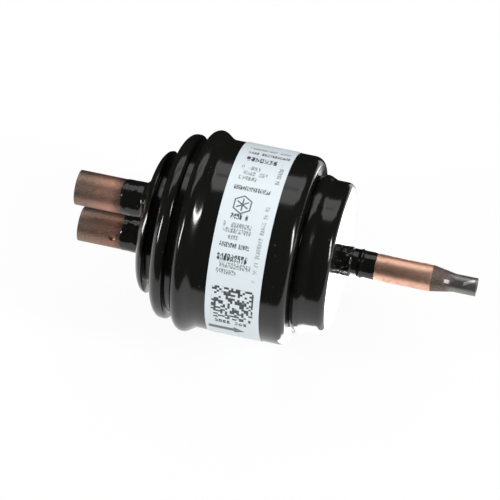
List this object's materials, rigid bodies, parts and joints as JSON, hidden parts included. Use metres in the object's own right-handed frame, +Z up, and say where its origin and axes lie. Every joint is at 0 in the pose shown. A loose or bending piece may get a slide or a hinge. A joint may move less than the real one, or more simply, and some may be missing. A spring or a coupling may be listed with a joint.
{
  "type": "filter drier",
  "caption": "Hermetic refrigerant filter drier: ringed black steel shell with a paper label, copper solder sockets at the inlet end and a swaged copper outlet tube.",
  "frame": {"origin": "on the shell's axis, midway between the inlet tubes' open ends and the outlet stub's end", "axes": "+X along the shell's axis in the direction of flow, +Z up from the lower to the upper inlet tube"},
  "size_m": [0.0954, 0.048, 0.048],
  "materials": {
    "black_paint": "thick gloss black paint over drawn steel",
    "copper": "bare copper, heat tinted, black overspray at the root",
    "label_paper": "satin white label stock",
    "bonded_desiccant": "matt porous block",
    "polyester_felt": "matt felt",
    "plain_steel": "bare pressed steel"
  },
  "bodies": {
    "root": {"inlet_shell": "black_paint", "outlet_shell": "black_paint", "girth_weld": "black_paint", "inlet_tube_upper": "copper", "inlet_tube_lower": "copper", "inlet_braze_upper": "black_paint", "inlet_braze_lower": "black_paint", "outlet_tube": "copper", "outlet_braze": "black_paint", "label": "label_paper", "desiccant_core": "bonded_desiccant", "filter_pad": "polyester_felt", "perforated_plate": "plain_steel", "outlet_screen": "plain_steel", "core_spring": "plain_steel", "spring_plate": "plain_steel"}
  },
  "joints": []
}
